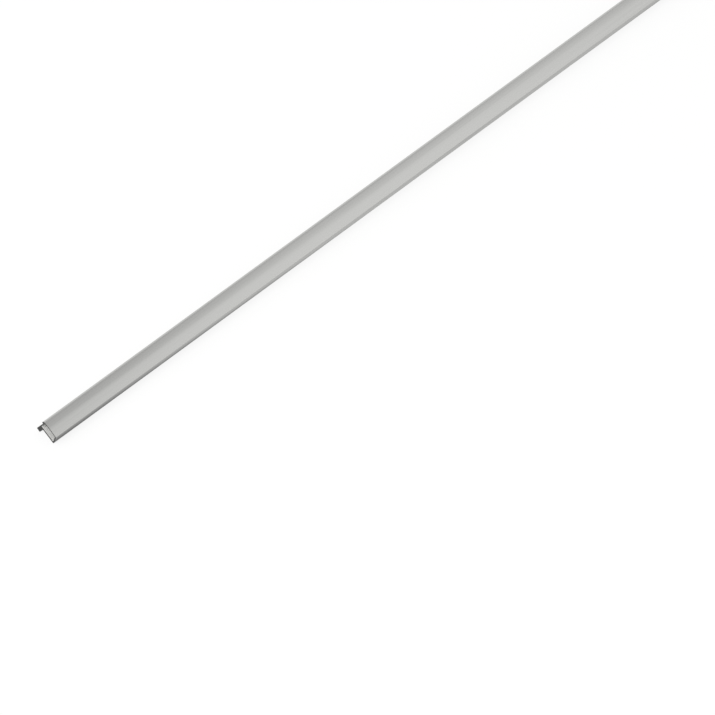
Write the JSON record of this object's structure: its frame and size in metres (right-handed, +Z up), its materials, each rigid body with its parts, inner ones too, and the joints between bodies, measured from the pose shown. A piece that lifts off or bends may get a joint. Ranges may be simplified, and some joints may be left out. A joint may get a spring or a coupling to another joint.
{
  "type": "aluminium extrusion profile",
  "caption": "Long straight hollow aluminium edge profile with a crowned front face, a chamber behind it, a bevelled toe, a small lip and a solid rear leg, sawn square at its ends.",
  "frame": {"origin": "middle of the bar's length and width, on the surface that it lies on", "axes": "+X along the bar, +Y from the toe towards the leg, +Z up from the surface that it lies on"},
  "size_m": [1, 0.0238, 0.0185],
  "materials": {
    "anodised_aluminium": "satin, silver anodised, with bare sawn ends"
  },
  "bodies": {
    "root": {"profile": "anodised_aluminium"}
  },
  "joints": []
}
